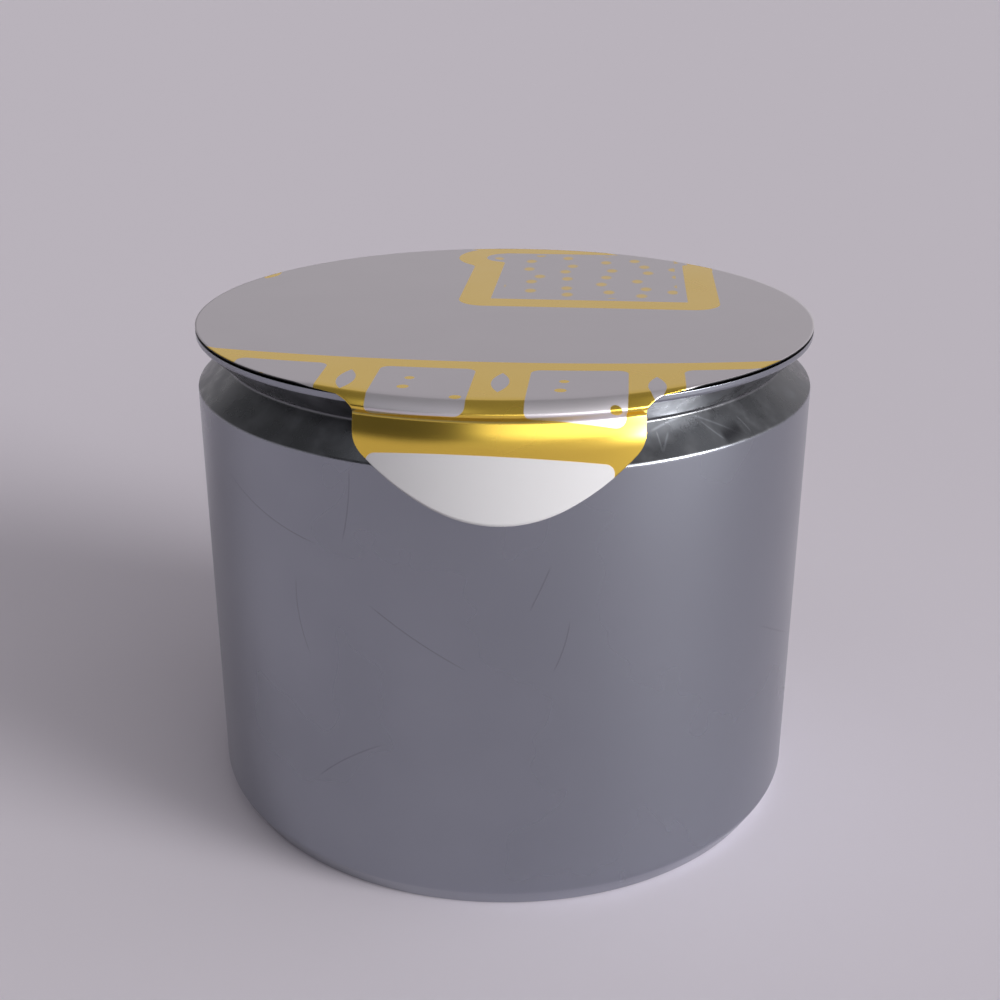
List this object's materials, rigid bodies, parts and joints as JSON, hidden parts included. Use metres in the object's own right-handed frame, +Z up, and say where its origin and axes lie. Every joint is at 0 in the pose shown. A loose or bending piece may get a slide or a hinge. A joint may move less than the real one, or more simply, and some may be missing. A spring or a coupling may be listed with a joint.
{
  "type": "round tin can",
  "caption": "Short round metal food can with a necked-in shoulder under a flat flange, shut by a sealed foil lid whose pull tab is folded down over the rim.",
  "frame": {"origin": "centre of the can's base, on the surface it stands on", "axes": "+Z up along the can's axis; -Y to the front, where the pull tab hangs; +X to the right seen from the front"},
  "size_m": [0.0602, 0.061, 0.049],
  "materials": {
    "can_metal": "satin drawn aluminium with fine scratches",
    "lid_foil": "satin foil with gold printed fields and a white pull-tab end"
  },
  "bodies": {
    "root": {"can_body": "can_metal", "foil_lid": "lid_foil"}
  },
  "joints": []
}
